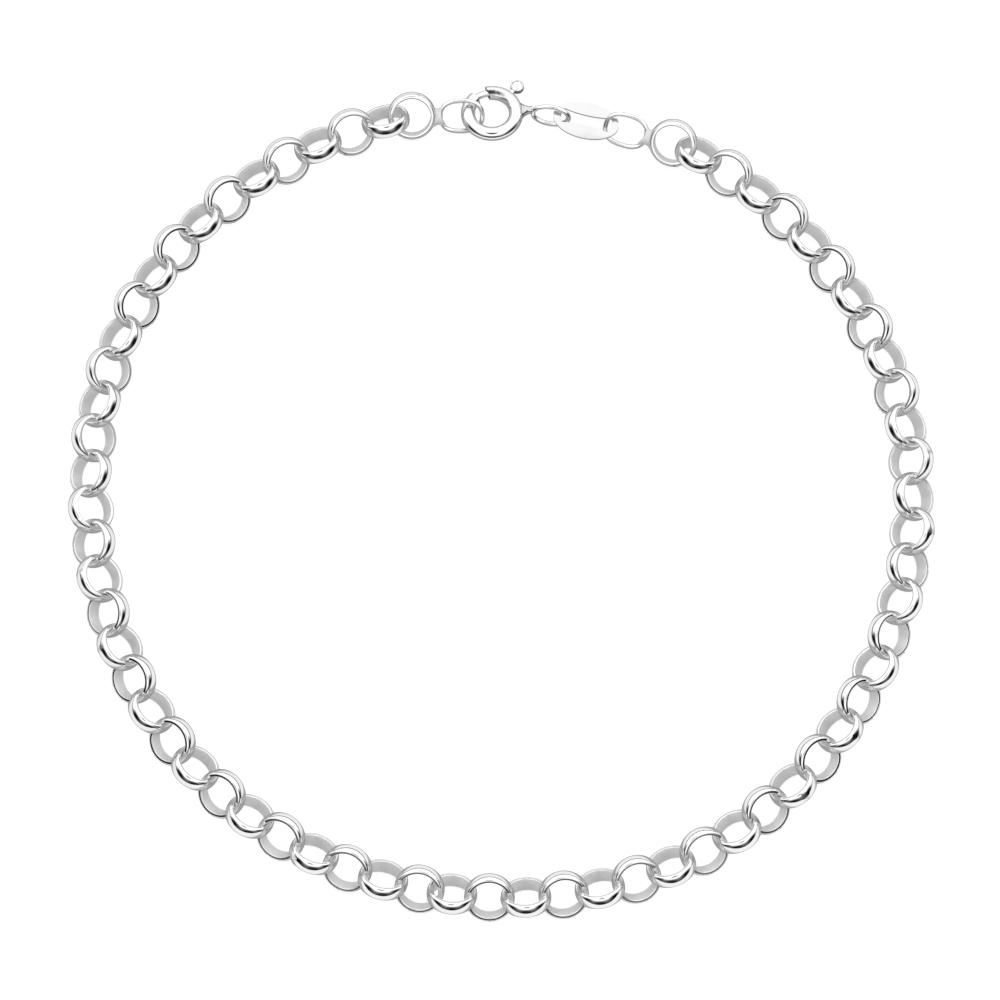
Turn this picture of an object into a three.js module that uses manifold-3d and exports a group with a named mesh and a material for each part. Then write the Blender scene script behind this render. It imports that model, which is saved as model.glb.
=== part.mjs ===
// Link bracelet: a belcher chain laid in a ring, closed by a bolt ring clasp and a slotted tag.
// Millimetres, +Z up. The bracelet lies on the plane Z = 0 with its clasp towards +Y,
// and the origin is the middle of its box on that plane.
// Angles round the bracelet run clockwise from +Y, seen from above.

import * as THREE from "three";
import { mergeVertices } from "three/addons/utils/BufferGeometryUtils.js";
import Module from "manifold-3d";

const wasm = await Module();
wasm.setup();

// The loop that the chain lies on
const loopRadius = 32.94;
const firstLinkAngle = 25.5;
const lastLinkAngle = 347.2;
const ringCount = 65;
const splitRing = 33;
const loopSwells = [
  { lobes: 2, height: 0.2, at: -54 },
  { lobes: 3, height: 0.06, at: -59 },
  { lobes: 4, height: 0.09, at: 41.5 },
  { lobes: 5, height: 0.11, at: 11.6 },
];

// One belcher link: a band, flat inside and domed outside
const linkInnerRadius = 1.57;
const linkOuterRadius = 1.98;
const linkWidth = 1.15;
const linkEdge = 0.14;
const linkSides = 12;
const linkLean = 40;
const splitGap = 0.34;
const endGap = 0.62;

// End link: a belcher link soldered to an oval wire link
const endLean = 36;
const ovalHalfLength = 1.72;
const ovalHalfWidth = 1.3;
const ovalWire = 0.38;
const ovalLean = 39;
const ovalHeight = 1.01;
const endSpacing = 4.05;
const solderRingRadius = 0.46;
const solderOvalRadius = 0.34;
const solderBite = 0.1;
const endLinkPlaces = {
  left: { heading: -2.2, side: 1 },
  right: { heading: 18, side: -1 },
};

// Bolt ring clasp
const claspCentre = new THREE.Vector2(-0.7, 32.37);
const claspTilt = 12;
const claspRadius = 1.975;
const tubeRadius = 0.575;
const boreRadius = 0.42;
const tubeStart = -11;
const tubeEnd = 316;
const boltRadius = 0.27;
const boltTip = -48;
const boltTail = 45;
const knobAngle = 39;
const boltTravel = 24;
const stemWidth = 0.36;
const knobRadius = 0.56;
const knobThickness = 0.42;
const knobReach = 3.28;
const slotClearance = 0.1;

// The eye soldered to the clasp
const eyeCentre = new THREE.Vector3(4.12, 32.2, 0.95);
const eyeHeading = 9;
const eyeHalfLength = 1.48;
const eyeHalfWidth = 0.86;
const eyeWire = 0.4;
const eyeLean = 58;
const neckAngle = 84;
const neckLength = 0.9;
const neckRadius = 0.36;
const neckTipRadius = 0.27;

// Slotted tag
const tagCentre = new THREE.Vector3(7.02, 31.73, 0.98);
const tagHeading = 13.4;
const tagHalfLength = 2.75;
const tagHalfWidth = 1.55;
const tagThickness = 0.26;
const slotHalfLength = 2.1;
const slotHalfWidth = 0.6;
const slotPinch = 0.18;
const slotCorner = 0.22;

// Silver finishes
const polishedSilver = { color: 0xe9e9ea, roughness: 0.16, metalness: 1 };
const satinSilver = { color: 0xe2e3e4, roughness: 0.3, metalness: 1 };

const rad = THREE.MathUtils.degToRad;
const upAxis = new THREE.Vector3(0, 0, 1);
const chainAxis = new THREE.Vector3(1, 0, 0);

// Solids and meshes

function toSolid(geometry) {
  const bare = geometry.clone();
  bare.deleteAttribute("normal");
  bare.deleteAttribute("uv");
  const merged = mergeVertices(bare, 1e-4);
  const vertProperties = new Float32Array(merged.attributes.position.array);
  const triVerts = new Uint32Array(merged.index.array);
  return new wasm.Manifold(new wasm.Mesh({ numProp: 3, vertProperties, triVerts }));
}

function toGeometry(solid) {
  const mesh = solid.getMesh();
  const geometry = new THREE.BufferGeometry();
  geometry.setAttribute("position", new THREE.BufferAttribute(mesh.vertProperties, 3));
  geometry.setIndex(new THREE.BufferAttribute(mesh.triVerts, 1));
  geometry.computeVertexNormals();
  return geometry;
}

function fuse(geometries) {
  let solid = toSolid(geometries[0]);
  for (const geometry of geometries.slice(1)) {
    solid = solid.add(toSolid(geometry));
  }
  return solid;
}

function makeMesh(name, geometry, finish) {
  const mesh = new THREE.Mesh(geometry, new THREE.MeshStandardMaterial(finish));
  mesh.name = name;
  return mesh;
}

// Places on the loop

function loopPoint(degrees) {
  const angle = rad(degrees);
  let radius = loopRadius;
  for (const swell of loopSwells) {
    radius += swell.height * Math.cos(swell.lobes * (angle - rad(swell.at)));
  }
  return new THREE.Vector2(radius * Math.sin(angle), radius * Math.cos(angle));
}

function loopTable() {
  const steps = 4000;
  const table = [{ degrees: firstLinkAngle, length: 0 }];
  let last = loopPoint(firstLinkAngle);
  for (let step = 1; step <= steps; step++) {
    const degrees = firstLinkAngle + ((lastLinkAngle - firstLinkAngle) * step) / steps;
    const point = loopPoint(degrees);
    table.push({ degrees, length: table[step - 1].length + point.distanceTo(last) });
    last = point;
  }
  return table;
}

const loopLengths = loopTable();

function angleAtLength(length) {
  const after = loopLengths.findIndex((row) => row.length >= length);
  if (after <= 0) {
    return length <= 0 ? firstLinkAngle : lastLinkAngle;
  }
  const low = loopLengths[after - 1];
  const high = loopLengths[after];
  const share = (length - low.length) / (high.length - low.length);
  return low.degrees + share * (high.degrees - low.degrees);
}

// Each station is a ring's place along the loop. Where two solids meet, their two rings
// crowd together by the gap there, and the other rings share the slack.
function ringStations() {
  const crowding = { 1: endGap, [splitRing]: splitGap, [ringCount - 1]: endGap };
  const crowded = Object.values(crowding).reduce((sum, gap) => sum + gap, 0);
  const total = loopLengths[loopLengths.length - 1].length;
  const pitch = (total + crowded) / (ringCount - 1);
  const angles = [];
  let length = 0;
  for (let ring = 1; ring <= ringCount; ring++) {
    angles.push(angleAtLength(Math.min(length, total)));
    length += pitch - (crowding[ring] ?? 0);
  }
  return angles;
}

const stations = ringStations();

// Rings and wires, each lying in the XY plane round its own centre

// The slopes beside the dome lie level on the low side of a leaning link
function bandSection() {
  const dome = linkOuterRadius - linkInnerRadius - linkEdge;
  const slope = dome * Math.tan(rad(linkLean));
  const half = linkWidth / 2;
  return [
    new THREE.Vector2(linkInnerRadius, -half),
    new THREE.Vector2(linkInnerRadius + linkEdge, -half),
    new THREE.Vector2(linkOuterRadius, slope - half),
    new THREE.Vector2(linkOuterRadius, half - slope),
    new THREE.Vector2(linkInnerRadius + linkEdge, half),
    new THREE.Vector2(linkInnerRadius, half),
    new THREE.Vector2(linkInnerRadius, -half),
  ];
}

// The sides of the ring are flat at the chain's direction and square to it, so the
// section's radii are those of the flats.
function belcherRing() {
  const halfSide = Math.PI / linkSides;
  const toCorner = 1 / Math.cos(halfSide);
  const profile = bandSection().map((point) => new THREE.Vector2(point.x * toCorner, point.y));
  const ring = new THREE.LatheGeometry(profile, linkSides, halfSide);
  return ring.rotateX(Math.PI / 2);
}

function ovalRing(halfLength, halfWidth, wire) {
  const wireSides = 6;
  const ringSides = 16;
  const ring = new THREE.TorusGeometry(halfWidth, wire / 2, wireSides, ringSides);
  const position = ring.attributes.position;
  for (let i = 0; i < position.count; i++) {
    const turn = Math.atan2(position.getY(i), position.getX(i));
    position.setX(i, position.getX(i) + (halfLength - halfWidth) * Math.cos(turn));
  }
  return ring;
}

// Turns a piece about the chain's direction, then to its heading, and moves it
function lay(geometry, lean, heading, place) {
  const turn = new THREE.Quaternion().setFromAxisAngle(upAxis, rad(-heading));
  const roll = new THREE.Quaternion().setFromAxisAngle(chainAxis, rad(lean));
  geometry.applyQuaternion(turn.multiply(roll));
  return geometry.translate(place.x, place.y, place.z);
}

// Height of a leaning ring's centre above the plane that it rests on
function restHeight(lean) {
  const reaches = bandSection().map(
    (point) => point.x * Math.sin(rad(lean)) + point.y * Math.cos(rad(lean)),
  );
  return Math.max(...reaches);
}

// Chain

function chainLink(ring) {
  const station = stations[ring - 1];
  const point = loopPoint(station);
  const leansOut = ring % 2 === 1;
  const place = new THREE.Vector3(point.x, point.y, restHeight(linkLean));
  return lay(belcherRing(), leansOut ? linkLean : -linkLean, station, place);
}

function chainHalf(name, firstRing, lastRing) {
  const links = [];
  for (let ring = firstRing; ring <= lastRing; ring++) {
    links.push(chainLink(ring));
  }
  return makeMesh(name, toGeometry(fuse(links)), polishedSilver);
}

// End links, modelled with the belcher ring's centre at x = y = 0

function solderBlob(side) {
  const ringEdge = linkOuterRadius - solderBite;
  const ovalEdge = endSpacing - ovalHalfLength;
  const length = ovalEdge - ringEdge;
  const cone = new THREE.CylinderGeometry(solderRingRadius, solderOvalRadius, length, 8);
  cone.rotateZ((side * Math.PI) / 2);
  const height = (restHeight(endLean) + ovalHeight) / 2;
  return cone.translate(side * (ringEdge + length / 2), 0, height);
}

function endLink(name, ring, { heading, side }) {
  const origin = new THREE.Vector3(0, 0, restHeight(endLean));
  const belcher = lay(belcherRing(), endLean, 0, origin);
  const ovalPlace = new THREE.Vector3(side * endSpacing, 0, ovalHeight);
  const oval = lay(ovalRing(ovalHalfLength, ovalHalfWidth, ovalWire), ovalLean, 0, ovalPlace);
  const solid = fuse([belcher, solderBlob(side), oval]);
  const mesh = makeMesh(name, toGeometry(solid), polishedSilver);
  const point = loopPoint(stations[ring - 1]);
  mesh.position.set(point.x, point.y, 0);
  mesh.rotation.z = rad(-heading);
  return mesh;
}

// Clasp, modelled round its own centre in the XY plane

class ArcPath extends THREE.Curve {
  constructor(radius, start, end) {
    super();
    this.radius = radius;
    this.start = rad(start);
    this.end = rad(end);
  }

  getPoint(t, target = new THREE.Vector3()) {
    const angle = this.start + (this.end - this.start) * t;
    return target.set(this.radius * Math.sin(angle), this.radius * Math.cos(angle), 0);
  }
}

function tubeAlong(path, section, steps) {
  const settings = { extrudePath: path, steps, curveSegments: 5, bevelEnabled: false };
  return new THREE.ExtrudeGeometry(section, settings);
}

function circleShape(radius) {
  return new THREE.Shape().absarc(0, 0, radius, 0, 2 * Math.PI, false);
}

function hollowTube() {
  const section = circleShape(tubeRadius);
  section.holes.push(circleShape(boreRadius));
  return tubeAlong(new ArcPath(claspRadius, tubeStart, tubeEnd), section, 26);
}

// The slot in the tube's outer wall that the knob's stem runs in
function stemSlot() {
  const inner = claspRadius;
  const outer = claspRadius + 2 * tubeRadius;
  const halfGap = stemWidth / 2 + slotClearance;
  const margin = THREE.MathUtils.radToDeg(halfGap / (claspRadius + boreRadius));
  const start = rad(90 - knobAngle + margin);
  const end = rad(90 - knobAngle - boltTravel - margin);
  const shape = new THREE.Shape();
  shape.absarc(0, 0, outer, start, end, true);
  shape.absarc(0, 0, inner, end, start, false);
  const settings = { depth: 2 * halfGap, curveSegments: 4, bevelEnabled: false };
  return new THREE.ExtrudeGeometry(shape, settings).translate(0, 0, -halfGap);
}

// The short tapered solder neck between the tube and the eye
function neck() {
  const start = claspRadius + tubeRadius - solderBite;
  const cone = new THREE.CylinderGeometry(neckTipRadius, neckRadius, neckLength, 8);
  cone.translate(0, start + neckLength / 2, 0);
  return cone.rotateZ(rad(-neckAngle));
}

const claspHeight = tubeRadius + claspRadius * Math.sin(rad(claspTilt));

function claspFrame() {
  const frame = new THREE.Group();
  frame.position.set(claspCentre.x, claspCentre.y, claspHeight);
  frame.rotation.x = rad(-claspTilt);
  frame.updateMatrixWorld();
  return frame;
}

function claspBody() {
  const toClasp = claspFrame().matrixWorld.clone().invert();
  const eye = lay(ovalRing(eyeHalfLength, eyeHalfWidth, eyeWire), eyeLean, eyeHeading, eyeCentre);
  eye.applyMatrix4(toClasp);
  const tube = toSolid(hollowTube()).subtract(toSolid(stemSlot()));
  const solid = tube.add(toSolid(neck())).add(toSolid(eye));
  return makeMesh("clasp_body", toGeometry(solid), polishedSilver);
}

function claspBolt() {
  const path = new ArcPath(claspRadius, boltTip, boltTail);
  const rod = tubeAlong(path, circleShape(boltRadius), 10);
  const stemLength = knobReach - claspRadius;
  const stem = new THREE.BoxGeometry(stemWidth, stemLength, stemWidth);
  stem.translate(0, claspRadius + stemLength / 2, 0);
  const knob = new THREE.CylinderGeometry(knobRadius, knobRadius, knobThickness, 14);
  knob.rotateX(Math.PI / 2).translate(0, knobReach, 0);
  const trigger = toSolid(stem).add(toSolid(knob));
  const placed = toGeometry(trigger).rotateZ(rad(-knobAngle));
  const solid = toSolid(rod).add(toSolid(placed));
  return makeMesh("clasp_bolt", toGeometry(solid), polishedSilver);
}

function clasp() {
  const group = claspFrame();
  group.add(claspBody(), claspBolt());
  return group;
}

// Tag

// The slot is narrower in its middle than at its ends
function tagSlot() {
  const x = slotHalfLength - slotCorner;
  const y = slotHalfWidth - slotCorner;
  const slot = new THREE.Path();
  slot.absarc(x, -y, slotCorner, -Math.PI / 2, 0, false);
  slot.absarc(x, y, slotCorner, 0, Math.PI / 2, false);
  slot.quadraticCurveTo(0, slotHalfWidth - 2 * slotPinch, -x, slotHalfWidth);
  slot.absarc(-x, y, slotCorner, Math.PI / 2, Math.PI, false);
  slot.absarc(-x, -y, slotCorner, Math.PI, (3 * Math.PI) / 2, false);
  slot.quadraticCurveTo(0, 2 * slotPinch - slotHalfWidth, x, -slotHalfWidth);
  return slot;
}

function slottedTag() {
  const outline = new THREE.Shape().absellipse(0, 0, tagHalfLength, tagHalfWidth, 0, 2 * Math.PI);
  outline.holes.push(tagSlot());
  const settings = { depth: tagThickness, curveSegments: 10, bevelEnabled: false };
  const plate = new THREE.ExtrudeGeometry(outline, settings).translate(0, 0, -tagThickness / 2);
  const mesh = makeMesh("tag_plate", plate, satinSilver);
  mesh.position.copy(tagCentre);
  mesh.rotation.z = rad(-tagHeading);
  return mesh;
}

// The whole bracelet, moved so that the middle of its box is over the origin

function linkBracelet() {
  const bracelet = new THREE.Group();
  bracelet.add(
    endLink("end_link_right", 1, endLinkPlaces.right),
    chainHalf("chain_right", 2, splitRing),
    chainHalf("chain_left", splitRing + 1, ringCount - 1),
    endLink("end_link_left", ringCount, endLinkPlaces.left),
    clasp(),
    slottedTag(),
  );
  const middle = new THREE.Box3().setFromObject(bracelet, true).getCenter(new THREE.Vector3());
  bracelet.position.set(-middle.x, -middle.y, 0);
  return bracelet;
}

export default linkBracelet();
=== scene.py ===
import math
import random

import bmesh
import bpy
from mathutils import Matrix, Vector


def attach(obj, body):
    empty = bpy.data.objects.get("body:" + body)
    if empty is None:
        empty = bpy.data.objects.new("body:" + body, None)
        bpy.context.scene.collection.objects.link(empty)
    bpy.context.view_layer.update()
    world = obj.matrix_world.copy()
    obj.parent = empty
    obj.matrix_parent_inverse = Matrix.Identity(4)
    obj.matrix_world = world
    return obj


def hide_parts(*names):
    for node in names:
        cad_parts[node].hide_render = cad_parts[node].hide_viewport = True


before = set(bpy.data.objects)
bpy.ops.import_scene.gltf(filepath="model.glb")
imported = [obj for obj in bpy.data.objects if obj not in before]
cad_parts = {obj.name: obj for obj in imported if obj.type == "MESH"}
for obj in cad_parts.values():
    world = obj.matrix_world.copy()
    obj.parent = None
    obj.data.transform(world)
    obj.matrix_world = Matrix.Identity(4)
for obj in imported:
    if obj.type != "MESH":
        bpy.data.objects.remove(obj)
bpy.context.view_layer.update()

# Link bracelet in silver: a belcher chain laid in a ring, a bolt ring clasp and a slotted tag.
# Shapes are modelled in millimetres round their own centres, then laid on the loop in metres.
# Angles round the bracelet run clockwise from +Y, seen from above.

millimetre = 0.001
hair = 1e-4  # points closer than this, in millimetres, count as one
rounding = 1e-6  # what a sum of lengths may be out by
random.seed(11)


# Helpers for working by hand in code

def only(obj):
    if bpy.context.mode != "OBJECT":
        bpy.ops.object.mode_set(mode="OBJECT")
    bpy.ops.object.select_all(action="DESELECT")
    obj.select_set(True)
    bpy.context.view_layer.objects.active = obj
    return obj


def startEditing(obj, mode="VERT"):
    only(obj)
    bpy.ops.object.mode_set(mode="EDIT")
    bpy.ops.mesh.select_mode(type=mode)
    bpy.ops.mesh.select_all(action="DESELECT")


def stopEditing():
    bpy.ops.object.mode_set(mode="OBJECT")


def pickVerts(obj, test):
    bpy.ops.mesh.select_all(action="DESELECT")
    mesh = bmesh.from_edit_mesh(obj.data)
    for vert in mesh.verts:
        vert.select = test(vert.co)
    mesh.select_flush(True)
    bmesh.update_edit_mesh(obj.data)


def pickEdges(obj, test):
    bpy.ops.mesh.select_all(action="DESELECT")
    mesh = bmesh.from_edit_mesh(obj.data)
    for edge in mesh.edges:
        if test(edge.verts[0].co, edge.verts[1].co):
            edge.select_set(True)
    bmesh.update_edit_mesh(obj.data)


def pickFaces(obj, test):
    bpy.ops.mesh.select_all(action="DESELECT")
    mesh = bmesh.from_edit_mesh(obj.data)
    for face in mesh.faces:
        if test(face.calc_center_median(), face.normal):
            face.select_set(True)
    bmesh.update_edit_mesh(obj.data)


def applyModifier(obj, kind, **settings):
    only(obj)
    modifier = obj.modifiers.new(kind.title(), kind)
    for name, value in settings.items():
        setattr(modifier, name, value)
    bpy.ops.object.modifier_apply(modifier=modifier.name)


def cutWith(obj, cutter):
    applyModifier(obj, "BOOLEAN", operation="DIFFERENCE", solver="EXACT", object=cutter)
    bpy.data.objects.remove(cutter)


def smooth(obj, degrees=35):
    only(obj)
    bpy.ops.object.shade_smooth_by_angle(angle=math.radians(degrees))


def joinAll(objs, name):
    only(objs[0])
    for obj in objs:
        obj.select_set(True)
    bpy.ops.object.join()
    joined = bpy.context.object
    joined.name = name
    joined.data.name = name
    return joined


def applyPlace(obj):
    only(obj)
    bpy.ops.object.transform_apply(location=True, rotation=True, scale=True)


def turned(lean, heading, place):
    roll = Matrix.Rotation(math.radians(lean), 4, "X")
    turn = Matrix.Rotation(math.radians(-heading), 4, "Z")
    return Matrix.Translation(place) @ turn @ roll


# The loop that the chain lies on

loop = {
    "centre": (-0.0808, -0.4458),
    "radius": 32.94,
    "firstAngle": 25.5,
    "lastAngle": 347.2,
    "rings": 65,
    "splitRing": 33,
    "splitGap": 0.34,
    "endGap": 0.62,
    "swells": ((2, 0.2, -54), (3, 0.06, -59), (4, 0.09, 41.5), (5, 0.11, 11.6)),
    "steps": 2000,
}


def loopPoint(degrees):
    angle = math.radians(degrees)
    radius = loop["radius"]
    for lobes, height, at in loop["swells"]:
        radius += height * math.cos(lobes * (angle - math.radians(at)))
    return Vector((radius * math.sin(angle), radius * math.cos(angle), 0))


def ringStations():
    span = loop["lastAngle"] - loop["firstAngle"]
    angles = [loop["firstAngle"] + span * i / loop["steps"] for i in range(loop["steps"] + 1)]
    lengths = [0]
    for before, after in zip(angles, angles[1:]):
        lengths.append(lengths[-1] + (loopPoint(after) - loopPoint(before)).length)
    crowding = {
        1: loop["endGap"],
        loop["splitRing"]: loop["splitGap"],
        loop["rings"] - 1: loop["endGap"],
    }
    pitch = (lengths[-1] + sum(crowding.values())) / (loop["rings"] - 1)
    stations = []
    length = 0
    for ring in range(1, loop["rings"] + 1):
        reached = next((i for i, at in enumerate(lengths) if at >= length - rounding), -1)
        stations.append(angles[reached])
        length += pitch - crowding.get(ring, 0)
    return stations


stations = ringStations()


# Silver finishes. Every pattern reads Object coordinates in metres.

def addNode(tree, kind, place, **values):
    node = tree.nodes.new(kind)
    node.location = place
    for name, value in values.items():
        if hasattr(node, name):
            setattr(node, name, value)
        else:
            node.inputs[name.replace("_", " ")].default_value = value
    return node


def silver(name, look):
    material = bpy.data.materials.new(name)
    material.use_nodes = True
    tree = material.node_tree
    shader = tree.nodes["Principled BSDF"]
    shader.inputs["Metallic"].default_value = look["metal"]
    shader.inputs["Specular Tint"].default_value = look["edgeTint"]
    place = addNode(tree, "ShaderNodeTexCoord", (-1100, 0))
    clouds = addNode(tree, "ShaderNodeTexNoise", (-850, 250), Scale=look["cloudScale"], Detail=3)
    tone = addNode(tree, "ShaderNodeMix", (-350, 250), data_type="RGBA")
    tone.inputs["A"].default_value = look["toneLow"]
    tone.inputs["B"].default_value = look["toneHigh"]
    grain = addNode(tree, "ShaderNodeTexNoise", (-850, 0), Scale=look["grainScale"], Detail=4)
    sheen = addNode(tree, "ShaderNodeMapRange", (-350, 0))
    sheen.inputs["To Min"].default_value = look["roughLow"]
    sheen.inputs["To Max"].default_value = look["roughHigh"]
    ripple = addNode(tree, "ShaderNodeTexNoise", (-850, -250), Scale=look["rippleScale"], Detail=2)
    # The solder attribute darkens the base colour: solder marks, and painted shade in the clasp's
    # seam and round its knob
    solder = addNode(tree, "ShaderNodeAttribute", (-850, 500), attribute_name="solder")
    blotch = addNode(tree, "ShaderNodeMath", (-600, 450), operation="MULTIPLY")
    darkening = addNode(tree, "ShaderNodeMix", (-150, 300), data_type="RGBA")
    darkening.inputs["B"].default_value = look["solderAndShadeTone"]
    dull = addNode(tree, "ShaderNodeMath", (-150, 0), operation="MULTIPLY_ADD")
    dull.inputs[1].default_value = look["solderRough"]
    bump = addNode(tree, "ShaderNodeBump", (-350, -250))
    bump.inputs["Strength"].default_value = look["rippleStrength"]
    bump.inputs["Distance"].default_value = look["rippleHeight"]
    for texture in (clouds, grain, ripple):
        tree.links.new(place.outputs["Object"], texture.inputs["Vector"])
    tree.links.new(clouds.outputs["Fac"], tone.inputs["Factor"])
    tree.links.new(solder.outputs["Fac"], blotch.inputs[0])
    tree.links.new(grain.outputs["Fac"], blotch.inputs[1])
    tree.links.new(tone.outputs["Result"], darkening.inputs["A"])
    tree.links.new(blotch.outputs["Value"], darkening.inputs["Factor"])
    tree.links.new(darkening.outputs["Result"], shader.inputs["Base Color"])
    tree.links.new(grain.outputs["Fac"], sheen.inputs["Value"])
    tree.links.new(blotch.outputs["Value"], dull.inputs[0])
    tree.links.new(sheen.outputs["Result"], dull.inputs[2])
    tree.links.new(dull.outputs["Value"], shader.inputs["Roughness"])
    tree.links.new(ripple.outputs["Fac"], bump.inputs["Height"])
    tree.links.new(bump.outputs["Normal"], shader.inputs["Normal"])
    return material


polishedLook = {
    "metal": 1,
    "edgeTint": (0.7, 0.71, 0.73, 1),
    "toneLow": (0.76, 0.76, 0.765, 1),
    "toneHigh": (0.86, 0.86, 0.86, 1),
    # The darkest grey: solder marks, and painted shade in the clasp's seam and round its knob
    "solderAndShadeTone": (0.09, 0.09, 0.095, 1),
    "solderRough": 0.4,
    "cloudScale": 600,
    "grainScale": 5000,
    "roughLow": 0.03,
    "roughHigh": 0.09,
    "rippleScale": 900,
    "rippleHeight": 0.00002,
    "rippleStrength": 0.35,
}

satinLook = {
    "metal": 0.75,
    "edgeTint": (0.7, 0.71, 0.73, 1),
    "toneLow": (0.84, 0.84, 0.845, 1),
    "toneHigh": (0.98, 0.98, 0.98, 1),
    "solderAndShadeTone": (0.3, 0.3, 0.3, 1),
    "solderRough": 0.2,
    "cloudScale": 900,
    "grainScale": 9000,
    "roughLow": 0.44,
    "roughHigh": 0.62,
    "rippleScale": 4000,
    "rippleHeight": 0.00001,
    "rippleStrength": 0.4,
}

tagLook = dict(
    polishedLook, roughLow=0.1, roughHigh=0.2, rippleScale=500,
    toneLow=(0.66, 0.66, 0.665, 1), toneHigh=(0.74, 0.74, 0.74, 1),
)

polished = silver("polishedSilver", polishedLook)
satin = silver("satinSilver", satinLook)
rolled = silver("rolledSilver", tagLook)
print("silver finishes made")


# One belcher link: flat inside, domed outside

link = {
    "inner": 1.55,
    "outer": 1.985,
    "width": 1.15,
    "edge": 0.2,
    "edgeRound": 0.05,
    "domePoints": 28,
    "steps": 64,
    "inwardFacing": -0.9,
    "seamHalf": 0.3,
    "seamFoot": 0.3,
    "roughHalf": 0.21,
    "seamRough": 0.03,
    "seamDarkening": 0.6,
}


# How dark each vertex is made, which the silver's material reads: solder marks, and painted shade
# in the clasp's open seam and round the bolt's knob
def markSolderAndShade(obj, amount):
    solder = obj.data.attributes.new("solder", "FLOAT", "POINT")
    for vert, mark in zip(obj.data.vertices, solder.data):
        mark.value = amount(vert.co)


# The soldered joint of a link: its dome is a little uneven there, and stained
def solderSeam(ring):
    foot = link["inner"] + link["seamFoot"]
    startEditing(ring)
    pickVerts(ring, lambda co: abs(co.y) < link["roughHalf"] and co.x > foot)
    bpy.ops.transform.vertex_random(offset=link["seamRough"], uniform=0, normal=1, seed=5)
    stopEditing()

    def darkening(co):
        return link["seamDarkening"] * max(0, 1 - abs(co.y) / link["seamHalf"]) * (co.x > foot)

    markSolderAndShade(ring, darkening)


# Half a disc for the dome, with the flat band's edge drawn out behind it, is spun to a ring
def belcherLink(name):
    bpy.ops.mesh.primitive_circle_add(vertices=link["domePoints"], radius=1, fill_type="NGON")
    ring = bpy.context.object
    ring.name = name
    ring.rotation_euler.x = math.radians(90)
    applyPlace(ring)
    startEditing(ring)
    bpy.ops.mesh.select_all(action="SELECT")
    bpy.ops.mesh.bisect(plane_co=(0, 0, 0), plane_no=(-1, 0, 0), clear_outer=True)
    bpy.ops.mesh.select_all(action="SELECT")
    bpy.ops.mesh.delete(type="ONLY_FACE")
    bpy.ops.mesh.select_all(action="SELECT")
    foot = link["inner"] + link["edge"]
    dome = link["outer"] - link["inner"] - link["edge"]
    bpy.ops.transform.resize(value=(dome, 1, link["width"] / 2), center_override=(0, 0, 0))
    bpy.ops.transform.translate(value=(foot, 0, 0))
    pickEdges(ring, lambda a, b: abs(a.x - foot) < hair and abs(b.x - foot) < hair)
    bpy.ops.mesh.delete(type="EDGE_FACE")
    pickVerts(ring, lambda co: abs(co.x - foot) < hair)
    bpy.ops.mesh.extrude_vertices_move(TRANSFORM_OT_translate={"value": (-link["edge"], 0, 0)})
    bpy.ops.mesh.edge_face_add()
    bpy.ops.mesh.bevel(affect="VERTICES", offset=link["edgeRound"], segments=3)
    bpy.ops.mesh.select_all(action="SELECT")
    bpy.ops.mesh.spin(
        steps=link["steps"], angle=2 * math.pi, center=(0, 0, 0), axis=(0, 0, 1)
    )
    bpy.ops.mesh.select_all(action="SELECT")
    bpy.ops.mesh.remove_doubles(threshold=hair)
    bpy.ops.mesh.normals_make_consistent(inside=False)
    stopEditing()
    ring.data.materials.append(polished)
    ring.data.materials.append(satin)
    for face in ring.data.polygons:
        outward = Vector((face.center.x, face.center.y, 0)).normalized()
        if face.normal.dot(outward) < link["inwardFacing"]:
            face.material_index = 1
    solderSeam(ring)
    smooth(ring)
    return ring


linkMaster = belcherLink("linkMaster")
linkMaster.hide_render = True
print("belcher link:", len(linkMaster.data.polygons), "faces")


def restHeight(mesh, lean):
    roll = Matrix.Rotation(math.radians(lean), 4, "X")
    return -min((roll @ vert.co).z for vert in mesh.vertices)


def copyOf(master, name):
    copy = master.copy()
    copy.data = master.data.copy()
    copy.name = name
    copy.hide_render = False
    bpy.context.collection.objects.link(copy)
    return copy


def finishPiece(piece, body, slot, *nodes):
    toMetres = Matrix.Scale(millimetre, 4)
    centre = Vector((*loop["centre"], 0))
    piece.matrix_world = toMetres @ Matrix.Translation(centre) @ piece.matrix_world
    applyPlace(piece)
    piece.data.update()
    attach(piece, body)
    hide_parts(*nodes)
    print(piece.name, "has", sum(len(f.vertices) - 2 for f in piece.data.polygons), "triangles")


# The two halves of the chain

chain = {
    "lean": 40,
    "leanVariation": 2.2,
    "headingVariation": 1.6,
    "seamFrom": 75,
    "seamTo": 105,
}


# Even links show their soldered joint at the outside of the loop, and the others anywhere
def chainHalf(name, firstRing, lastRing, node):
    copies = []
    for ring in range(firstRing, lastRing + 1):
        copy = copyOf(linkMaster, f"link{ring}")
        lean = chain["lean"] + random.uniform(-1, 1) * chain["leanVariation"]
        if ring % 2 == 0:
            lean = -lean
        heading = stations[ring - 1] + random.uniform(-1, 1) * chain["headingVariation"]
        place = loopPoint(stations[ring - 1])
        place.z = restHeight(linkMaster.data, lean)
        seamFrom, seamTo = (chain["seamFrom"], chain["seamTo"]) if ring % 2 == 0 else (0, 360)
        spin = Matrix.Rotation(math.radians(random.uniform(seamFrom, seamTo)), 4, "Z")
        copy.matrix_world = turned(lean, heading, place) @ spin
        copies.append(copy)
    half = joinAll(copies, name)
    applyPlace(half)
    finishPiece(half, "bracelet", "link_silver", node)


chainHalf("chainRight", 2, loop["splitRing"], "chain_right")
chainHalf("chainLeft", loop["splitRing"] + 1, loop["rings"] - 1, "chain_left")
print("chain laid")


# Wires bent to an oval

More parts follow.
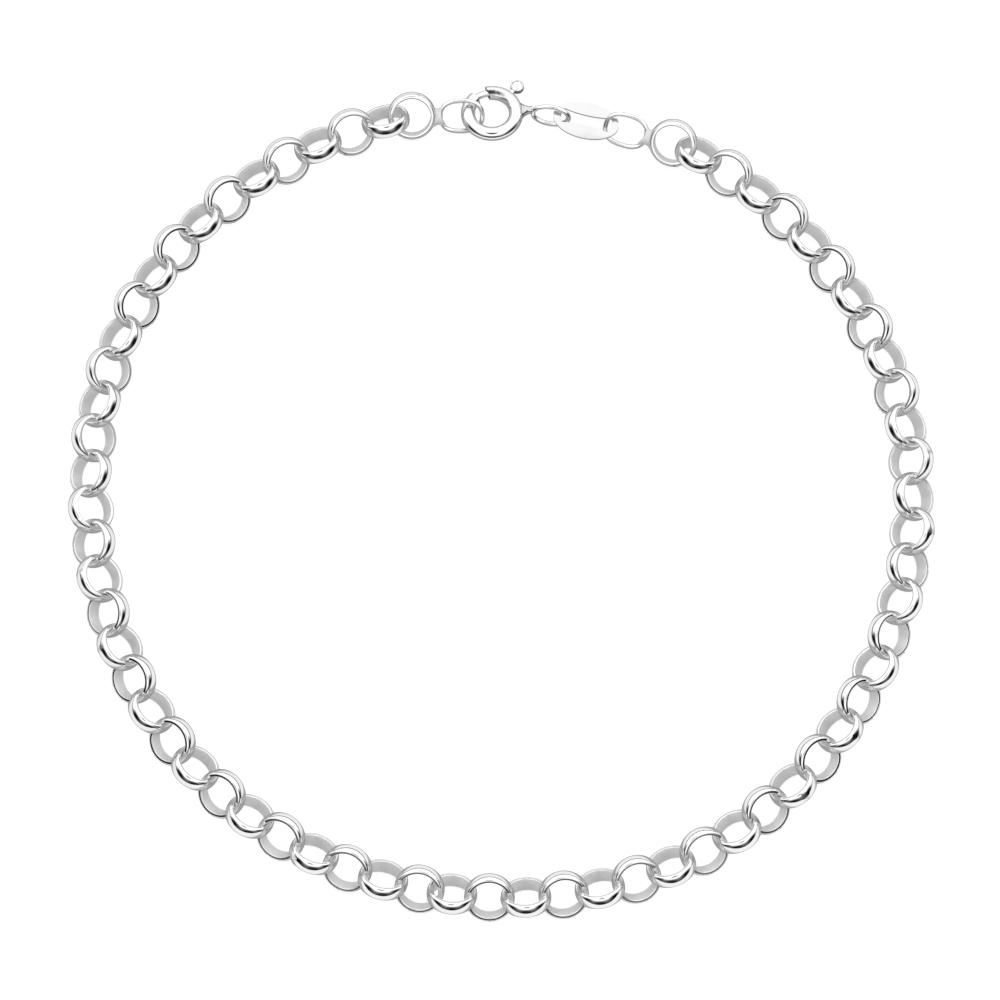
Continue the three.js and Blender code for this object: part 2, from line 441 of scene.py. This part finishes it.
def ovalWire(name, halfLength, halfWidth, wire, squareness=2, points=72):
    bpy.ops.mesh.primitive_circle_add(vertices=points, radius=1, fill_type="NOTHING")
    oval = bpy.context.object
    oval.name = name
    startEditing(oval)
    bpy.ops.mesh.select_all(action="SELECT")
    bpy.ops.transform.resize(value=(halfLength, halfWidth, 1), center_override=(0, 0, 0))
    stopEditing()
    for vert in oval.data.vertices:
        x = abs(vert.co.x) / halfLength
        y = abs(vert.co.y) / halfWidth
        vert.co *= (x ** squareness + y ** squareness) ** (-1 / squareness)
    only(oval)
    bpy.ops.object.convert(target="CURVE")
    oval.data.bevel_depth = wire / 2
    oval.data.bevel_resolution = 6
    bpy.ops.object.convert(target="MESH")
    oval.data.materials.clear()
    oval.data.materials.append(polished)
    smooth(oval)
    return oval


# End links: a belcher link soldered to an oval wire link

endLinks = {
    "rightHeading": 18,
    "leftHeading": -2.2,
    "lean": 36,
    "seamAt": 70,
    "ovalHalfLength": 1.72,
    "ovalHalfWidth": 1.3,
    "ovalWire": 0.38,
    "ovalLean": 39,
    "ovalHeight": 1.01,
    "spacing": 4.05,
    "ovalSquareness": 2.5,
    "solderAtRing": 1.05,
    "solderAtOval": 0.95,
    "solderNarrow": 0.7,
    "solderThick": 0.42,
    "solderShift": -0.08,
    "solderBite": 0.14,
    "solderCuts": 9,
    "solderStain": 0.6,
}


# How far a link's outline has curved back from its tip, at a distance to the side of it
def curveBack(halfLength, halfWidth, squareness, across):
    share = min(abs(across) / halfWidth, 1) ** squareness
    return halfLength * (1 - (1 - share) ** (1 / squareness))


# The web's ends follow the curves of the two links that it joins
def solderWeb(side, fromX, toX, height):
    length = toX - fromX
    middle = side * (fromX + toX) / 2
    bpy.ops.mesh.primitive_cylinder_add(
        vertices=32, radius=1, depth=length, end_fill_type="TRIFAN",
        location=(middle, 0, height), rotation=(0, math.radians(90), 0),
    )
    web = bpy.context.object
    applyPlace(web)
    startEditing(web, "EDGE")
    pickEdges(web, lambda a, b: abs(a.x - b.x) > length / 2)
    bpy.ops.mesh.subdivide(number_cuts=endLinks["solderCuts"], smoothness=0)
    stopEditing()
    ringOutline = (link["outer"], link["outer"], 2)
    ovalOutline = (
        endLinks["ovalHalfLength"], endLinks["ovalHalfWidth"], endLinks["ovalSquareness"]
    )
    for vert in web.data.vertices:
        along = side * (vert.co.x - middle) / (length / 2)
        widest = endLinks["solderAtOval"] if along > 0 else endLinks["solderAtRing"]
        outline = ovalOutline if along > 0 else ringOutline
        reach = endLinks["solderNarrow"] + (widest - endLinks["solderNarrow"]) * along ** 2
        vert.co.y = vert.co.y * reach + endLinks["solderShift"]
        vert.co.z = height + (vert.co.z - height) * min(reach, endLinks["solderThick"])
        vert.co.x += side * along * curveBack(*outline, vert.co.y)
    markSolderAndShade(web, lambda co: endLinks["solderStain"])
    web.data.materials.append(satin)
    smooth(web, degrees=50)
    return web


# The oval lies to the left of the belcher link where the side is -1, and to the right where it is 1
def endLink(name, ring, heading, side, node):
    belcher = copyOf(linkMaster, name + "Belcher")
    belcherHeight = restHeight(linkMaster.data, endLinks["lean"])
    spin = Matrix.Rotation(math.radians(endLinks["seamAt"] * side), 4, "Z")
    belcher.matrix_world = turned(endLinks["lean"], 0, (0, 0, belcherHeight)) @ spin
    applyPlace(belcher)
    oval = ovalWire(
        name + "Oval", endLinks["ovalHalfLength"], endLinks["ovalHalfWidth"],
        endLinks["ovalWire"], endLinks["ovalSquareness"],
    )
    ovalPlace = (side * endLinks["spacing"], 0, endLinks["ovalHeight"])
    oval.matrix_world = turned(endLinks["ovalLean"], 0, ovalPlace)
    applyPlace(oval)
    fromX = link["outer"] - endLinks["solderBite"]
    toX = endLinks["spacing"] - endLinks["ovalHalfLength"] + endLinks["solderBite"] / 2
    web = solderWeb(side, fromX, toX, (belcherHeight + endLinks["ovalHeight"]) / 2)
    whole = joinAll([belcher, oval, web], name)
    whole.matrix_world = turned(0, heading, loopPoint(stations[ring - 1]))
    finishPiece(whole, "bracelet", "link_silver", node)


endLink("endLinkRight", 1, endLinks["rightHeading"], -1, "end_link_right")
endLink("endLinkLeft", loop["rings"], endLinks["leftHeading"], 1, "end_link_left")
print("end links soldered")


# Bolt ring clasp, modelled round its own centre. Its angles run clockwise from +Y.

clasp = {
    "centre": (-0.7, 32.37),
    "tilt": 12,
    "radius": 1.975,
    "tube": 0.575,
    "bore": 0.42,
    "end": 316,
    "bolt": 0.27,
    "boltRound": 0.16,
    "boltTip": -48,
    "boltTail": 45,
    "knobAngle": 39,
    "travel": 24,
    "stem": 0.36,
    "stemRound": 0.06,
    "knob": 0.56,
    "knobThick": 0.4,
    "knobReach": 3.28,
    "slotClearance": 0.1,
    "seamTurn": 116,
    "seamWidth": 0.24,
    "seamDepth": 0.17,
    "seamLength": 60,
    # The seam's darkening is painted shade in the opening, darkest at the mouth
    "seamDarkening": 5,
    "mouthOuter": -13.5,
    "mouthInner": -5.5,
    "mouthSpare": 4,
    "rimWidth": 0.09,
    "rimSlope": 0.05,
    "rimDepth": 0.09,
    # Painted shade round the knob's outer edge
    "rimPaintedShade": 1.5,
    "knobRound": 0.035,
    "eyeCentre": (4.12, 32.2, 0.95),
    "eyeHeading": 9,
    "eyeHalfLength": 1.48,
    "eyeHalfWidth": 0.86,
    "eyeWire": 0.4,
    "eyeLean": 58,
    "neckAngle": 84,
    "neckLength": 0.9,
    "neckBite": 0.1,
    "neckWide": 0.72,
    "neckWaist": 0.3,
    "neckNarrow": 0.32,
    "neckCurve": 2.5,
    "neckStain": 0.6,
}

claspHeight = clasp["tube"] + clasp["radius"] * math.sin(math.radians(clasp["tilt"]))
claspFrame = Matrix.Translation((*clasp["centre"], claspHeight))
claspFrame = claspFrame @ Matrix.Rotation(math.radians(-clasp["tilt"]), 4, "X")


def claspAngle(co):
    return math.degrees(math.atan2(co.x, co.y))


def wireSection(name, radius, sides=28):
    bpy.ops.mesh.primitive_circle_add(vertices=sides, radius=radius, fill_type="NOTHING")
    section = bpy.context.object
    section.name = name
    return section


# 1 is the middle of the tube's seam at the mouth, and 0 is clear of the seam
def seamShare(co):
    turn = math.radians(clasp["seamTurn"])
    seam = Vector((math.cos(turn), math.sin(turn)))
    out = math.hypot(co.x, co.y) - clasp["radius"]
    aside = (Vector((out, co.z)).normalized() - seam).length * clasp["tube"]
    fromMouth = claspAngle(co) - clasp["mouthOuter"]
    if not -2 * clasp["mouthSpare"] < fromMouth < clasp["seamLength"]:
        return 0
    return max(0, 1 - aside / clasp["seamWidth"]) * min(1 - fromMouth / clasp["seamLength"], 1)


# The tube is rolled from sheet, and the seam where the sheet closes opens towards its mouth
def openSeam(tube):
    for vert in tube.data.vertices:
        centre = Vector((vert.co.x, vert.co.y, 0)).normalized() * clasp["radius"]
        sink = clasp["seamDepth"] / clasp["tube"] * seamShare(vert.co)
        vert.co += (centre - vert.co) * sink


# Stands a section at the start angle, and spins it round the clasp's centre to the end angle
def bentRod(rod, start, end, stepDegrees=4):
    rod.rotation_euler.x = math.radians(90)
    rod.location.x = clasp["radius"]
    applyPlace(rod)
    rod.matrix_world = Matrix.Rotation(math.radians(90 - start), 4, "Z")
    applyPlace(rod)
    startEditing(rod)
    bpy.ops.mesh.select_all(action="SELECT")
    bpy.ops.mesh.spin(
        steps=round((end - start) / stepDegrees), angle=math.radians(end - start),
        center=(0, 0, 0), axis=(0, 0, 1),
    )
    bpy.ops.mesh.select_all(action="SELECT")
    bpy.ops.mesh.normals_make_consistent(inside=False)
    stopEditing()
    return rod


def slotCutter():
    half = clasp["stem"] / 2 + clasp["slotClearance"]
    margin = math.degrees(half / (clasp["radius"] + clasp["bore"]))
    start = clasp["knobAngle"] - margin
    end = clasp["knobAngle"] + clasp["travel"] + margin
    bpy.ops.mesh.primitive_plane_add(size=1)
    cutter = bpy.context.object
    cutter.scale = (clasp["tube"] * 2, half * 2, 1)
    cutter.rotation_euler.x = math.radians(90)
    cutter.location.x = clasp["radius"] + clasp["tube"]
    applyPlace(cutter)
    cutter.matrix_world = Matrix.Rotation(math.radians(90 - start), 4, "Z")
    applyPlace(cutter)
    startEditing(cutter)
    bpy.ops.mesh.select_all(action="SELECT")
    bpy.ops.mesh.spin(steps=10, angle=math.radians(end - start), center=(0, 0, 0), axis=(0, 0, 1))
    bpy.ops.mesh.select_all(action="SELECT")
    bpy.ops.mesh.normals_make_consistent(inside=False)
    stopEditing()
    return cutter


# The tube's mouth is cut at a slant
def slantMouth(tube):
    outward = clasp["radius"] + clasp["tube"]
    inward = clasp["radius"] - clasp["tube"]
    outer = math.radians(clasp["mouthOuter"])
    inner = math.radians(clasp["mouthInner"])
    far = Vector((math.sin(outer), math.cos(outer), 0)) * outward
    close = Vector((math.sin(inner), math.cos(inner), 0)) * inward
    across = (far - close).normalized()
    startEditing(tube, "FACE")
    pickFaces(tube, lambda co, normal: abs(claspAngle(co)) < clasp["neckAngle"] / 3)
    bpy.ops.mesh.bisect(plane_co=close, plane_no=(-across.y, across.x, 0), clear_outer=True)
    stopEditing()


def claspTube():
    section = wireSection("claspTube", clasp["tube"], sides=72)
    tube = bentRod(section, clasp["mouthOuter"] - clasp["mouthSpare"], clasp["end"])
    openSeam(tube)
    slantMouth(tube)
    applyModifier(tube, "SOLIDIFY", thickness=clasp["tube"] - clasp["bore"], offset=-1)
    cutWith(tube, slotCutter())
    # The open seam is darkened towards the mouth: painted shade inside the opening
    markSolderAndShade(tube, lambda co: clasp["seamDarkening"] * seamShare(co))
    tube.data.materials.append(polished)
    smooth(tube, degrees=40)
    return tube


# The neck is a cone drawn in to a waist, as solder runs between two wires
def claspNeck():
    start = clasp["radius"] + clasp["tube"] - clasp["neckBite"]
    bpy.ops.mesh.primitive_cone_add(
        vertices=28, radius1=clasp["neckWide"], radius2=clasp["neckNarrow"],
        depth=clasp["neckLength"], location=(start + clasp["neckLength"] / 2, 0, 0),
        rotation=(0, math.radians(90), 0),
    )
    neck = bpy.context.object
    applyPlace(neck)
    startEditing(neck, "EDGE")
    pickEdges(neck, lambda a, b: abs(a.x - b.x) > clasp["neckLength"] / 2)
    bpy.ops.mesh.subdivide(number_cuts=7)
    stopEditing()
    wide, waist, narrow = clasp["neckWide"], clasp["neckWaist"], clasp["neckNarrow"]
    for vert in neck.data.vertices:
        along = min(max((vert.co.x - start) / clasp["neckLength"], 0), 1)
        flare = max(waist + (wide - waist) * (1 - along) ** clasp["neckCurve"], narrow)
        straight = wide + (narrow - wide) * along
        vert.co.y *= flare / straight
        vert.co.z *= min(flare, clasp["bore"]) / straight
    markSolderAndShade(neck, lambda co: clasp["neckStain"])
    neck.matrix_world = Matrix.Rotation(math.radians(90 - clasp["neckAngle"]), 4, "Z")
    applyPlace(neck)
    neck.data.materials.append(polished)
    smooth(neck, degrees=50)
    return neck


def claspBody():
    tube, neck = claspTube(), claspNeck()
    for part in (tube, neck):
        part.matrix_world = claspFrame
        applyPlace(part)
    eye = ovalWire("claspEye", clasp["eyeHalfLength"], clasp["eyeHalfWidth"], clasp["eyeWire"])
    eye.matrix_world = turned(clasp["eyeLean"], clasp["eyeHeading"], clasp["eyeCentre"])
    applyPlace(eye)
    whole = joinAll([tube, neck, eye], "claspBody")
    finishPiece(whole, "bracelet", "wire_silver", "clasp_body")


def boltRod():
    section = wireSection("claspBoltRod", clasp["bolt"])
    rod = bentRod(section, clasp["boltTip"], clasp["boltTail"])
    startEditing(rod, "EDGE")
    bpy.ops.mesh.select_non_manifold()
    bpy.ops.mesh.edge_face_add()
    stopEditing()
    applyModifier(rod, "BEVEL", width=clasp["boltRound"], segments=5, limit_method="ANGLE")
    return rod


# The stem and the knob stand on the +Y axis, and are turned to the knob's angle at the end
def boltStem():
    stemLength = clasp["knobReach"] - clasp["radius"]
    bpy.ops.mesh.primitive_cube_add(
        size=1, location=(0, clasp["radius"] + stemLength / 2, 0),
        scale=(clasp["stem"], stemLength, clasp["stem"]),
    )
    stem = bpy.context.object
    applyPlace(stem)
    applyModifier(stem, "BEVEL", width=clasp["stemRound"], segments=3)
    return stem


# A disc with a raised rim round a bare face
def boltKnob():
    bpy.ops.mesh.primitive_cylinder_add(
        vertices=48, radius=clasp["knob"], depth=clasp["knobThick"],
        location=(0, clasp["knobReach"], 0),
    )
    knob = bpy.context.object
    applyPlace(knob)
    startEditing(knob, "FACE")
    pickFaces(knob, lambda co, normal: abs(normal.z) > 0.9)
    bpy.ops.mesh.inset(thickness=clasp["rimWidth"], use_individual=True)
    bpy.ops.mesh.inset(thickness=clasp["rimSlope"], depth=-clasp["rimDepth"], use_individual=True)
    stopEditing()
    applyModifier(knob, "BEVEL", width=clasp["knobRound"], segments=3, limit_method="ANGLE")
    rim = clasp["knob"] - clasp["rimWidth"] / 2

    # The outer edge of the rim and the knob's side are darkened: painted shade round the knob
    def darkening(co):
        return clasp["rimPaintedShade"] * (math.hypot(co.x, co.y - clasp["knobReach"]) > rim)

    markSolderAndShade(knob, darkening)
    return knob


def claspBolt():
    rod, stem, knob = boltRod(), boltStem(), boltKnob()
    for part in (stem, knob):
        part.matrix_world = Matrix.Rotation(math.radians(-clasp["knobAngle"]), 4, "Z")
        applyPlace(part)
    for part in (rod, stem, knob):
        part.data.materials.append(polished)
        smooth(part, degrees=40)
    whole = joinAll([rod, stem, knob], "claspBolt")
    whole.matrix_world = claspFrame
    finishPiece(whole, "bolt", "wire_silver", "clasp_bolt")


claspBody()
claspBolt()
print("clasp closed")


# Slotted tag

tag = {
    "centre": (7.02, 31.73, 0.98),
    "heading": 13.4,
    "halfLength": 2.75,
    "halfWidth": 1.55,
    "thick": 0.26,
    "slotHalfLength": 2.1,
    "slotHalfWidth": 0.6,
    "slotPinch": 0.18,
    "slotCorner": 0.22,
    "slotCuts": 15,
    "edgeRound": 0.06,
    "crown": 0.03,
    "strips": 16,
}


# The plate is pressed to a slight crown across its short way
def crownPlate(plate):
    for strip in range(1, tag["strips"]):
        across = tag["halfWidth"] * (2 * strip / tag["strips"] - 1)
        startEditing(plate, "FACE")
        bpy.ops.mesh.select_all(action="SELECT")
        bpy.ops.mesh.bisect(plane_co=(0, across, 0), plane_no=(0, 1, 0))
        stopEditing()
    for vert in plate.data.vertices:
        vert.co.z += tag["crown"] * (0.5 - (vert.co.y / tag["halfWidth"]) ** 2)


# The slot has round corners, and its long sides bow in towards each other
def tagSlotCutter():
    bpy.ops.mesh.primitive_cube_add(
        size=1, scale=(2 * tag["slotHalfLength"], 2 * tag["slotHalfWidth"], 2 * tag["thick"])
    )
    cutter = bpy.context.object
    applyPlace(cutter)
    startEditing(cutter, "EDGE")
    pickEdges(cutter, lambda a, b: abs(a.z - b.z) > tag["thick"])
    bpy.ops.mesh.bevel(affect="EDGES", offset=tag["slotCorner"], segments=6)
    pickEdges(cutter, lambda a, b: abs(a.x - b.x) > tag["slotHalfLength"])
    bpy.ops.mesh.subdivide(number_cuts=tag["slotCuts"])
    stopEditing()
    for vert in cutter.data.vertices:
        along = vert.co.x / (tag["slotHalfLength"] - tag["slotCorner"])
        vert.co.y *= 1 - tag["slotPinch"] / tag["slotHalfWidth"] * max(0, 1 - along ** 2)
    return cutter


def slottedTag():
    bpy.ops.mesh.primitive_cylinder_add(vertices=120, radius=1, depth=tag["thick"])
    plate = bpy.context.object
    plate.scale = (tag["halfLength"], tag["halfWidth"], 1)
    applyPlace(plate)
    cutWith(plate, tagSlotCutter())
    crownPlate(plate)
    applyModifier(plate, "BEVEL", width=tag["edgeRound"], segments=3, limit_method="ANGLE")
    plate.name = plate.data.name = "tagPlate"
    plate.data.materials.append(rolled)
    smooth(plate, degrees=30)
    plate.matrix_world = turned(0, tag["heading"], tag["centre"])
    finishPiece(plate, "bracelet", "tag_silver", "tag_plate")


slottedTag()
bpy.data.objects.remove(linkMaster)
print("tag hung")


# Camera, floor and light. A wall's stops are the height of a direction and its grey there, and
# the painted shadows under the links and the clasp, on the floor the silver reflects, reach as far
# as the metres given.

studio = {
    "cameraTilt": 15,
    "cameraDistance": 0.35,
    "cameraAim": (-0.000126, -0.001094, 0.00158),
    "lens": 157.5,
    "sensor": 36,
    "floorSize": 12,
    "floorGrey": 0.3,
    "floorGlow": 0.82,
    "toneDepth": 0.00005,
    "toneFar": 0.86,
    # The grey of the painted shadow under the links and the clasp, on the floor that the silver
    # reflects
    "paintedShadeGrey": 0.36,
    "toneGlow": 0.45,
    "shadeReach": 0.0026,
    "shadeEnd": 0.0056,
    "claspShadeReach": 0.0045,
    "claspShadeEnd": 0.0065,
    "tentStrength": 1.36,
    "backWall": ((0, 0.04), (0.08, 0.05), (0.15, 1)),
    "frontWall": ((0, 0.04), (0.12, 0.06), (0.3, 0.14), (0.46, 0.22), (0.62, 0.9), (0.7, 1)),
    "frontStart": 0.1,
    "frontEnd": -0.4,
    "darkSpots": (
        {"around": 0, "rise": 75, "core": 8, "rim": 16, "grey": 0.03},
        {"around": 0, "rise": 8, "core": 12, "rim": 26, "grey": 0.15},
        {"around": -72, "rise": 15, "core": 10, "rim": 34, "grey": 0.02},
        {"around": 72, "rise": 15, "core": 10, "rim": 34, "grey": 0.02},
    ),
}


def makeCamera():
    data = bpy.data.cameras.new("camera")
    data.lens = studio["lens"]
    data.sensor_width = studio["sensor"]
    camera = bpy.data.objects.new("camera", data)
    tilt = math.radians(studio["cameraTilt"])
    back = Vector((0, -math.sin(tilt), math.cos(tilt))) * studio["cameraDistance"]
    camera.location = Vector(studio["cameraAim"]) + back
    camera.rotation_euler = (tilt, 0, 0)
    bpy.context.collection.objects.link(camera)
    bpy.context.scene.camera = camera


def plainMaterial(name, grey, glow):
    material = bpy.data.materials.new(name)
    material.use_nodes = True
    shader = material.node_tree.nodes["Principled BSDF"]
    shader.inputs["Base Color"].default_value = (grey, grey, grey, 1)
    shader.inputs["Roughness"].default_value = 0.9
    shader.inputs["Specular IOR Level"].default_value = 0
    shader.inputs["Emission Color"].default_value = (1, 1, 1, 1)
    shader.inputs["Emission Strength"].default_value = glow
    return material


# The floor that shows in the silver has a painted shadow under the ring of links and round the
# clasp
def shadedTone():
    material = plainMaterial("floorTone", 1, studio["toneGlow"])
    tree = material.node_tree
    shader = tree.nodes["Principled BSDF"]
    place = addNode(tree, "ShaderNodeTexCoord", (-1200, 0))
    spread = addNode(tree, "ShaderNodeVectorMath", (-1000, 0), operation="LENGTH")
    offset = addNode(tree, "ShaderNodeMath", (-800, 0), operation="SUBTRACT")
    offset.inputs[1].default_value = loop["radius"] * millimetre
    beside = addNode(tree, "ShaderNodeMath", (-600, 0), operation="ABSOLUTE")
    fade = addNode(tree, "ShaderNodeMapRange", (-400, 0), interpolation_type="SMOOTHSTEP")
    fade.inputs["From Min"].default_value = studio["shadeReach"]
    fade.inputs["From Max"].default_value = studio["shadeEnd"]
    fromClasp = addNode(tree, "ShaderNodeVectorMath", (-800, -250), operation="DISTANCE")
    middle = [at + shift for at, shift in zip(clasp["centre"], loop["centre"])]
    fromClasp.inputs[1].default_value = Vector((*middle, 0)) * millimetre
    claspFade = addNode(tree, "ShaderNodeMapRange", (-600, -250), interpolation_type="SMOOTHSTEP")
    claspFade.inputs["From Min"].default_value = studio["claspShadeReach"]
    claspFade.inputs["From Max"].default_value = studio["claspShadeEnd"]
    both = addNode(tree, "ShaderNodeMath", (-300, -150), operation="MINIMUM")
    tone = addNode(tree, "ShaderNodeMix", (-200, 0), data_type="RGBA")
    for socket, grey in (("A", studio["paintedShadeGrey"]), ("B", studio["toneFar"])):
        tone.inputs[socket].default_value = (grey, grey, grey, 1)
    tree.links.new(place.outputs["Object"], spread.inputs[0])
    tree.links.new(spread.outputs["Value"], offset.inputs[0])
    tree.links.new(offset.outputs["Value"], beside.inputs[0])
    tree.links.new(beside.outputs["Value"], fade.inputs["Value"])
    tree.links.new(place.outputs["Object"], fromClasp.inputs[0])
    tree.links.new(fromClasp.outputs["Value"], claspFade.inputs["Value"])
    tree.links.new(fade.outputs["Result"], both.inputs[0])
    tree.links.new(claspFade.outputs["Result"], both.inputs[1])
    tree.links.new(both.outputs["Value"], tone.inputs["Factor"])
    tree.links.new(tone.outputs["Result"], shader.inputs["Base Color"])
    tree.links.new(tone.outputs["Result"], shader.inputs["Emission Color"])
    return material


# The camera sees one floor, and the silver reflects the other
def makeFloor():
    bpy.ops.mesh.primitive_plane_add(size=studio["floorSize"], location=(0, 0, 0))
    floor = bpy.context.object
    floor.name = "floor"
    paleFloor = plainMaterial("paleFloor", studio["floorGrey"], studio["floorGlow"])
    floor.data.materials.append(paleFloor)
    floor.visible_glossy = False
    bpy.ops.mesh.primitive_plane_add(
        size=studio["floorSize"], location=(0, 0, -studio["toneDepth"])
    )
    tone = bpy.context.object
    tone.name = "floorTone"
    tone.data.materials.append(shadedTone())
    tone.visible_camera = False
    tone.visible_diffuse = False
    tone.visible_shadow = False


def rampStops(ramp, stops):
    elements = ramp.color_ramp.elements
    while len(elements) < len(stops):
        elements.new(0.5)
    for element, (position, grey) in zip(elements, stops):
        element.position = position
        element.color = (grey, grey, grey, 1)


# A number that is 1 in most directions, and falls to the spot's grey near its own direction.
# The direction is degrees round from the camera's side and degrees up.
def darkSpot(tree, place, spot, row):
    around = math.radians(spot["around"])
    rise = math.radians(spot["rise"])
    toward = addNode(tree, "ShaderNodeVectorMath", (-850, row), operation="DOT_PRODUCT")
    toward.inputs[1].default_value = (
        math.cos(rise) * math.sin(around), -math.cos(rise) * math.cos(around), math.sin(rise)
    )
    fade = addNode(tree, "ShaderNodeMapRange", (-600, row))
    fade.inputs["From Min"].default_value = math.cos(math.radians(spot["rim"]))
    fade.inputs["From Max"].default_value = math.cos(math.radians(spot["core"]))
    fade.inputs["To Min"].default_value = 1
    fade.inputs["To Max"].default_value = spot["grey"]
    tree.links.new(place.outputs["Generated"], toward.inputs[0])
    tree.links.new(toward.outputs["Value"], fade.inputs["Value"])
    return fade.outputs["Result"]


# White tent, open towards the camera, with a dark line at its foot and a few dark spots
def makeSky():
    world = bpy.data.worlds.new("studioTent")
    bpy.context.scene.world = world
    world.use_nodes = True
    tree = world.node_tree
    backdrop = tree.nodes["Background"]
    backdrop.inputs["Strength"].default_value = studio["tentStrength"]
    place = addNode(tree, "ShaderNodeTexCoord", (-1100, 0))
    split = addNode(tree, "ShaderNodeSeparateXYZ", (-850, 150))
    back = addNode(tree, "ShaderNodeValToRGB", (-600, 400))
    rampStops(back, studio["backWall"])
    front = addNode(tree, "ShaderNodeValToRGB", (-600, 150))
    rampStops(front, studio["frontWall"])
    side = addNode(tree, "ShaderNodeMapRange", (-600, 650))
    side.inputs["From Min"].default_value = studio["frontStart"]
    side.inputs["From Max"].default_value = studio["frontEnd"]
    wall = addNode(tree, "ShaderNodeMix", (-250, 300), data_type="RGBA")
    tree.links.new(place.outputs["Generated"], split.inputs["Vector"])
    tree.links.new(split.outputs["Z"], back.inputs["Fac"])
    tree.links.new(split.outputs["Z"], front.inputs["Fac"])
    tree.links.new(split.outputs["Y"], side.inputs["Value"])
    tree.links.new(side.outputs["Result"], wall.inputs["Factor"])
    tree.links.new(back.outputs["Color"], wall.inputs["A"])
    tree.links.new(front.outputs["Color"], wall.inputs["B"])
    shade = wall.outputs["Result"]
    for count, spot in enumerate(studio["darkSpots"], 1):
        darken = addNode(
            tree, "ShaderNodeMix", (200 * count, 0), data_type="RGBA", blend_type="MULTIPLY"
        )
        darken.inputs["Factor"].default_value = 1
        tree.links.new(shade, darken.inputs["A"])
        tree.links.new(darkSpot(tree, place, spot, -250 * count), darken.inputs["B"])
        shade = darken.outputs["Result"]
    tree.links.new(shade, backdrop.inputs["Color"])


makeCamera()
makeFloor()
makeSky()
bpy.context.scene.view_settings.view_transform = "Standard"
print("studio set")

bpy.context.view_layer.update()
